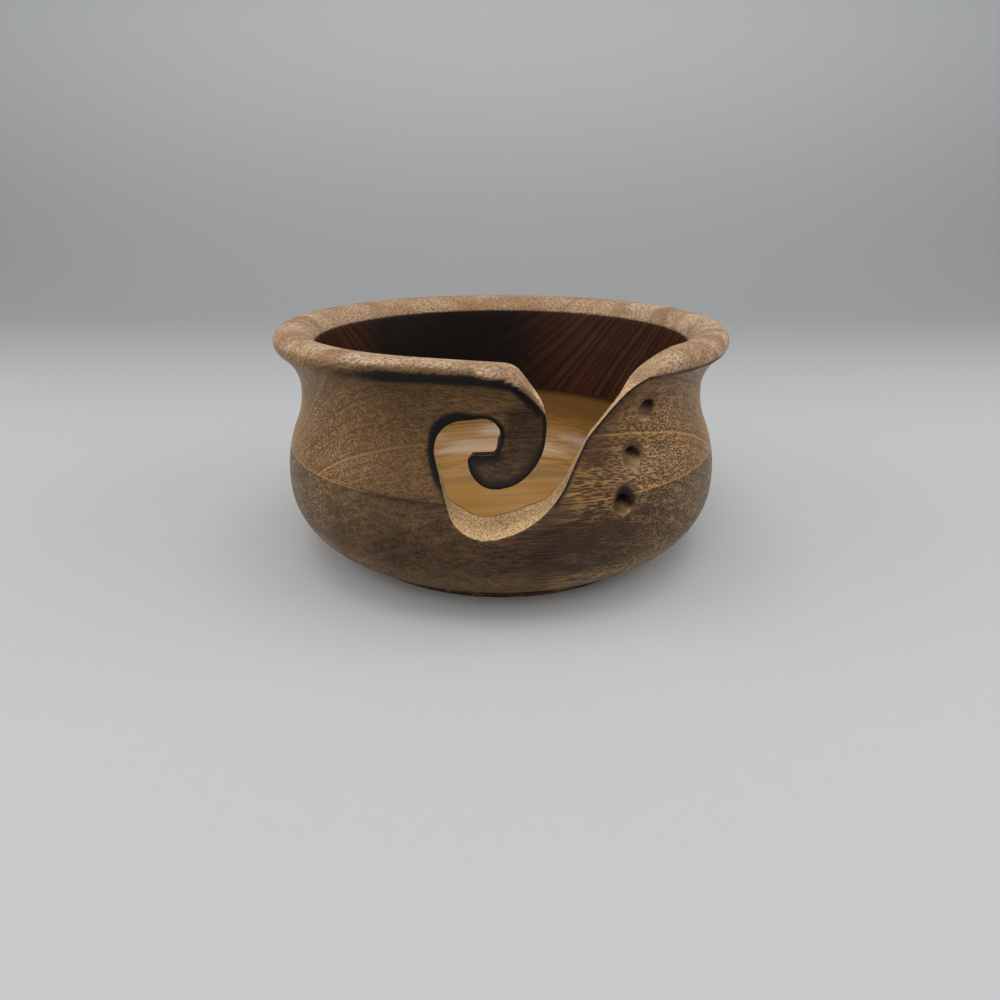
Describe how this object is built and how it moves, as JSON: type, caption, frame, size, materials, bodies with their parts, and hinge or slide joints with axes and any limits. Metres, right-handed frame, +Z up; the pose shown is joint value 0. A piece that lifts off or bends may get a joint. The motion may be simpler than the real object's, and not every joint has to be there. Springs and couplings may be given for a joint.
{
  "type": "yarn bowl",
  "caption": "Turned wooden yarn bowl with a curled slot that guides the strand out and holes in the wall that hold knitting needles.",
  "frame": {"origin": "centre of the foot's underside, on the bowl's turning axis", "axes": "+Z up along the turning axis; -Y towards the curled slot; +X to the right when facing the slot"},
  "size_m": [0.152, 0.152, 0.0774],
  "materials": {
    "upper_wood": "satin, waxed, with torched edges and a sanded rim",
    "glue": "matt",
    "lower_wood": "satin, waxed"
  },
  "bodies": {
    "root": {"upper_board": "upper_wood", "glue_joint": "glue", "lower_board": "lower_wood"}
  },
  "joints": []
}
